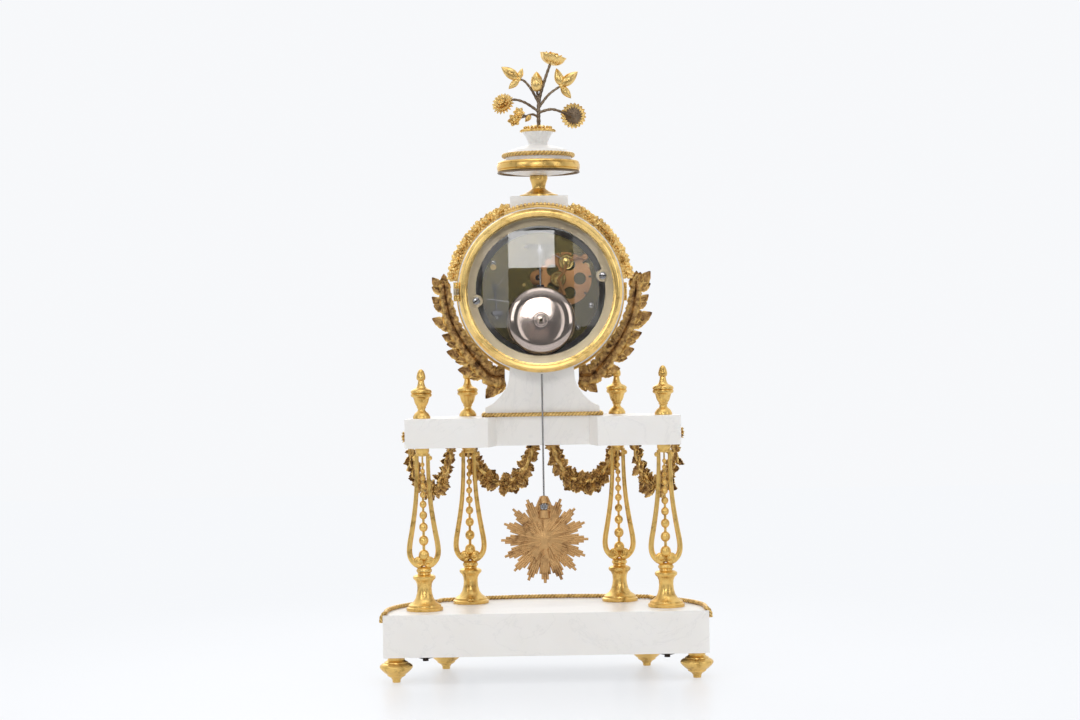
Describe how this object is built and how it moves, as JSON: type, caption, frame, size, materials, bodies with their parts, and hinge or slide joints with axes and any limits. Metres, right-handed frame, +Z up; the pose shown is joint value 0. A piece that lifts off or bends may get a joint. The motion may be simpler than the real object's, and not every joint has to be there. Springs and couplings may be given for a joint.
{
  "type": "mantel clock",
  "caption": "Portico mantel clock in white marble and gilt bronze, with open lyre columns, a striking drum movement, a sunburst pendulum and an urn with flowers.",
  "frame": {"origin": "on the ground under the middle of the whole clock's box", "axes": "+Z up, the dial faces -Y, the rear door and the bell face +Y, +X is the left side as seen from behind"},
  "size_m": [0.2688, 0.112, 0.5113],
  "materials": {
    "marble": "polished white marble with faint grey veins",
    "gilt": "fire-gilt bronze, burnished on the high parts",
    "rough_gilt": "rough cast back of gilt bronze, brown patina",
    "brass": "old brass, brushed and lacquered",
    "steel": "polished steel",
    "iron": "dark forged iron",
    "bell_metal": "silvered bell metal with a faint pink tone",
    "glass": "clear domed glass",
    "enamel": "white glossy enamel"
  },
  "bodies": {
    "case": {"base_slab": "marble", "upper_plate": "marble", "plinth": "marble", "drum": "marble", "top_block": "marble", "urn_body": "marble", "base_rope": "gilt", "foot_back_left": "gilt", "foot_back_right": "gilt", "foot_front_left": "gilt", "foot_front_right": "gilt", "column_back_left": "gilt", "column_back_right": "gilt", "column_front_left": "gilt", "column_front_right": "gilt", "finial_back_left": "gilt", "finial_back_right": "gilt", "finial_front_left": "gilt", "finial_front_right": "gilt", "plinth_rope": "gilt", "drum_garlands": "gilt", "urn_foot": "gilt", "urn_band": "gilt", "urn_crown": "gilt", "bouquet": "gilt", "front_ring": "gilt", "plate_rosettes": "rough_gilt", "laurel_left": "rough_gilt", "laurel_right": "rough_gilt", "swag_outer_left": "rough_gilt", "swag_inner_left": "rough_gilt", "swag_inner_right": "rough_gilt", "swag_outer_right": "rough_gilt", "rear_flange": "brass", "front_plate": "brass", "back_plate": "brass", "plate_pillars": "brass", "suspension_cock": "brass", "bell_stand": "steel", "underside_fixings": "iron", "bell": "bell_metal", "dial": "enamel"},
    "front_door": {"front_bezel": "gilt", "front_glass": "glass"},
    "rear_door": {"rear_bezel": "gilt", "rear_glass": "glass"},
    "minute_hand": {"minute_hand": "gilt"},
    "hour_hand": {"hour_hand": "gilt"},
    "minute_wheel": {"minute_wheel": "brass"},
    "going_wheel": {"going_wheel": "brass"},
    "going_barrel": {"going_barrel": "brass"},
    "going_arbor": {"going_arbor": "steel"},
    "strike_barrel": {"strike_barrel": "brass"},
    "strike_arbor": {"strike_arbor": "steel"},
    "countwheel": {"countwheel": "brass"},
    "anchor": {"anchor_crutch": "steel"},
    "hammer": {"hammer": "steel"},
    "pendulum": {"pendulum_rod": "steel"},
    "bob": {"pendulum_bob": "rough_gilt"},
    "rating_nut": {"rating_nut": "steel"}
  },
  "joints": [
    {"name": "front_door_hinge", "type": "hinge", "parent": "case", "child": "front_door", "pos_m": [-0.0709, -0.0391, 0.3133], "axis": [0, 0, -1], "range_deg": [0, 110]},
    {"name": "rear_door_hinge", "type": "hinge", "parent": "case", "child": "rear_door", "pos_m": [0.0684, 0.0374, 0.3133], "axis": [0, 0, -1], "range_deg": [0, 110]},
    {"name": "minute_hand_turn", "type": "hinge", "parent": "case", "child": "minute_hand", "pos_m": [0, 0, 0.3133], "axis": [0, 1, 0], "continuous": true},
    {"name": "minute_wheel_turn", "type": "hinge", "parent": "case", "child": "minute_wheel", "pos_m": [0, 0, 0.3013], "axis": [0, 1, 0], "continuous": true},
    {"name": "hour_hand_turn", "type": "hinge", "parent": "case", "child": "hour_hand", "pos_m": [0, 0, 0.3133], "axis": [0, 1, 0], "continuous": true},
    {"name": "going_wheel_turn", "type": "hinge", "parent": "case", "child": "going_wheel", "pos_m": [0.01335, 0, 0.31869], "axis": [0, 1, 0], "continuous": true},
    {"name": "going_barrel_turn", "type": "hinge", "parent": "case", "child": "going_barrel", "pos_m": [0.02, 0, 0.2983], "axis": [0, 1, 0], "continuous": true},
    {"name": "going_winding", "type": "hinge", "parent": "case", "child": "going_arbor", "pos_m": [0.02, 0, 0.2983], "axis": [0, 1, 0], "range_deg": [0, 1800]},
    {"name": "countwheel_turn", "type": "hinge", "parent": "case", "child": "countwheel", "pos_m": [-0.02, 0, 0.32305], "axis": [0, 1, 0], "continuous": true},
    {"name": "strike_barrel_turn", "type": "hinge", "parent": "case", "child": "strike_barrel", "pos_m": [-0.02, 0, 0.2983], "axis": [0, 1, 0], "continuous": true},
    {"name": "strike_winding", "type": "hinge", "parent": "case", "child": "strike_arbor", "pos_m": [-0.02, 0, 0.2983], "axis": [0, 1, 0], "range_deg": [0, 1800]},
    {"name": "pendulum_swing", "type": "hinge", "parent": "case", "child": "pendulum", "pos_m": [0, 0.02, 0.356], "axis": [0, 1, 0], "range_deg": [-4, 4]},
    {"name": "crutch_swing", "type": "hinge", "parent": "case", "child": "anchor", "pos_m": [0, 0, 0.356], "axis": [0, 1, 0], "range_deg": [-4, 4]},
    {"name": "hammer_lift", "type": "hinge", "parent": "case", "child": "hammer", "pos_m": [0.037, 0.028, 0.3173], "axis": [0, -1, 0], "range_deg": [0, 12], "stiffness_Nm_per_rad": 0.01, "springref_deg": -11.46},
    {"name": "bob_slide", "type": "slide", "parent": "pendulum", "child": "bob", "axis": [0, 0, 1], "range_m": [-0.002, 0.002]},
    {"name": "rating_nut_turn", "type": "hinge", "parent": "bob", "child": "rating_nut", "pos_m": [0, 0.02, 0.138], "axis": [0, 0, 1], "range_deg": [-1441, 1441]}
  ],
  "couplings": [
    {"joint": "minute_wheel_turn", "follows": "minute_hand_turn", "ratio": -0.33333},
    {"joint": "hour_hand_turn", "follows": "minute_hand_turn", "ratio": 0.083333},
    {"joint": "going_wheel_turn", "follows": "minute_hand_turn", "ratio": -0.125},
    {"joint": "going_barrel_turn", "follows": "minute_hand_turn", "ratio": 0.022727},
    {"joint": "strike_barrel_turn", "follows": "countwheel_turn", "ratio": -0.36364},
    {"joint": "crutch_swing", "follows": "pendulum_swing", "ratio": 1},
    {"joint": "rating_nut_turn", "follows": "bob_slide", "rad_per_m": 12566}
  ]
}
